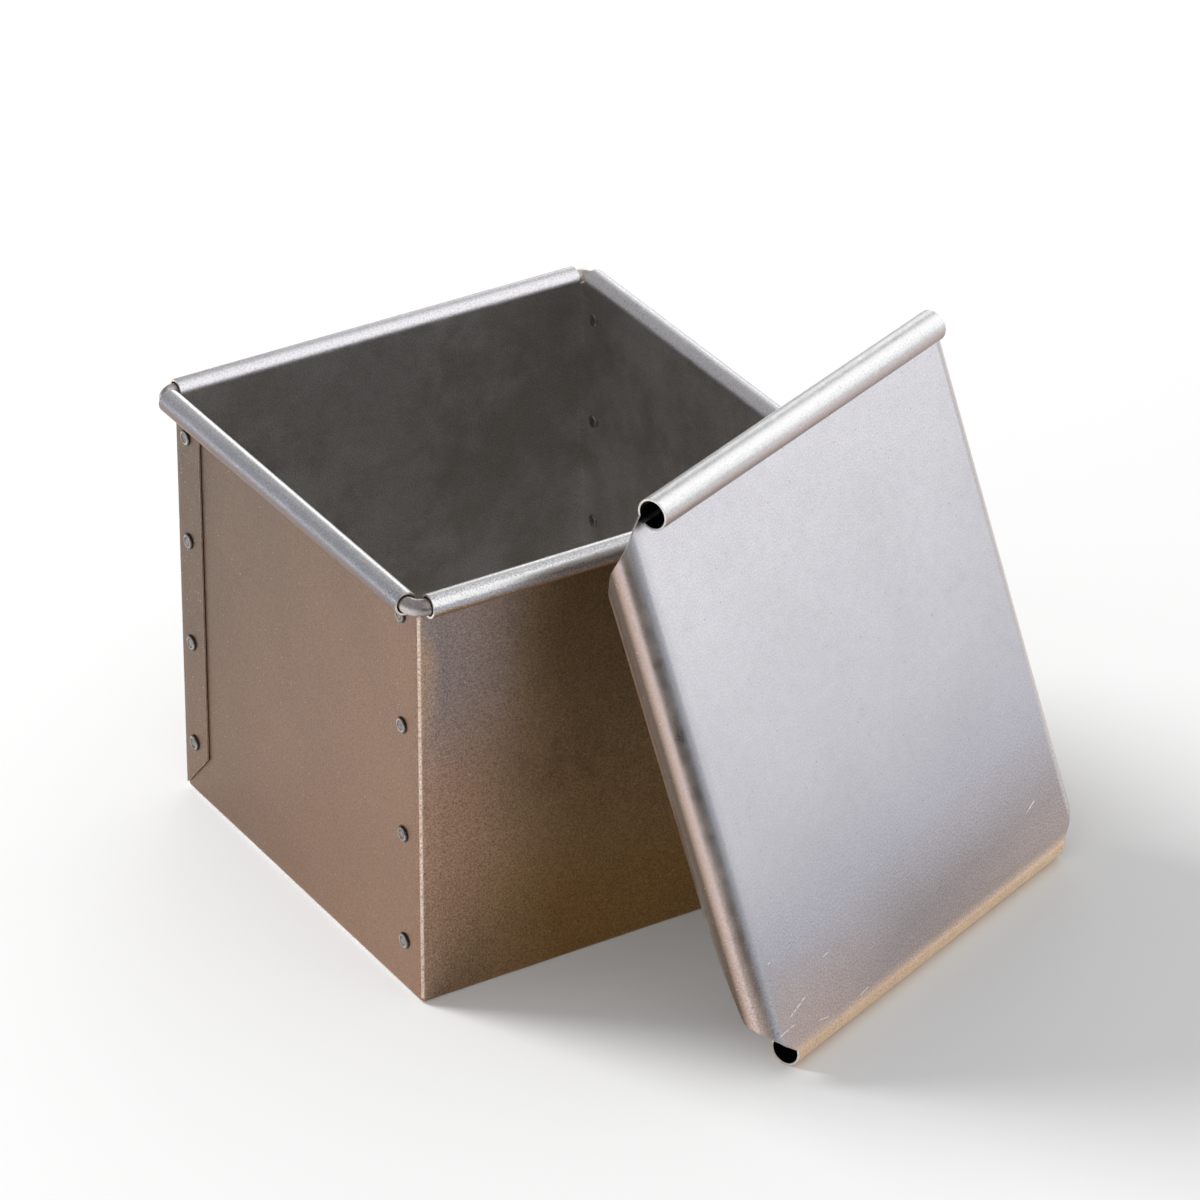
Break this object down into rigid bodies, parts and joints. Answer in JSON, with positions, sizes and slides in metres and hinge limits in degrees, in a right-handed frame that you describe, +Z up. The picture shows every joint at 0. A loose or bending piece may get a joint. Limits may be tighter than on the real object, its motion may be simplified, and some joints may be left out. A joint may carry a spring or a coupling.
{
  "type": "pullman loaf pan",
  "caption": "Cube-shaped sheet-steel loaf pan with riveted lapped corners, a wired rolled rim and a separate slide-on lid with end rolls and curled side channels, leaning on the rim.",
  "frame": {"origin": "centre of the pan's underside, on the table", "axes": "+X to the right along the front wall, +Y from the front wall to the back wall, +Z up from the table"},
  "size_m": [0.1865, 0.2, 0.1454],
  "materials": {
    "pan_steel": "satin aluminised",
    "wire_steel": "bright drawn wire",
    "rivet_steel": "satin",
    "lid_steel": "satin aluminised"
  },
  "bodies": {
    "pan": {"pan_body": "pan_steel", "rim_wire": "wire_steel", "rivet_front_left_1": "rivet_steel", "rivet_front_left_2": "rivet_steel", "rivet_front_left_3": "rivet_steel", "rivet_front_left_4": "rivet_steel", "rivet_front_right_1": "rivet_steel", "rivet_front_right_2": "rivet_steel", "rivet_front_right_3": "rivet_steel", "rivet_front_right_4": "rivet_steel", "rivet_back_left_1": "rivet_steel", "rivet_back_left_2": "rivet_steel", "rivet_back_left_3": "rivet_steel", "rivet_back_left_4": "rivet_steel", "rivet_back_right_1": "rivet_steel", "rivet_back_right_2": "rivet_steel", "rivet_back_right_3": "rivet_steel", "rivet_back_right_4": "rivet_steel"},
    "lid": {"lid": "lid_steel"}
  },
  "joints": [
    {"name": "lid_slide", "type": "slide", "parent": "pan", "child": "lid", "axis": [-0.097, 0.24, 0.9659], "range_m": [0, 0.132]}
  ]
}
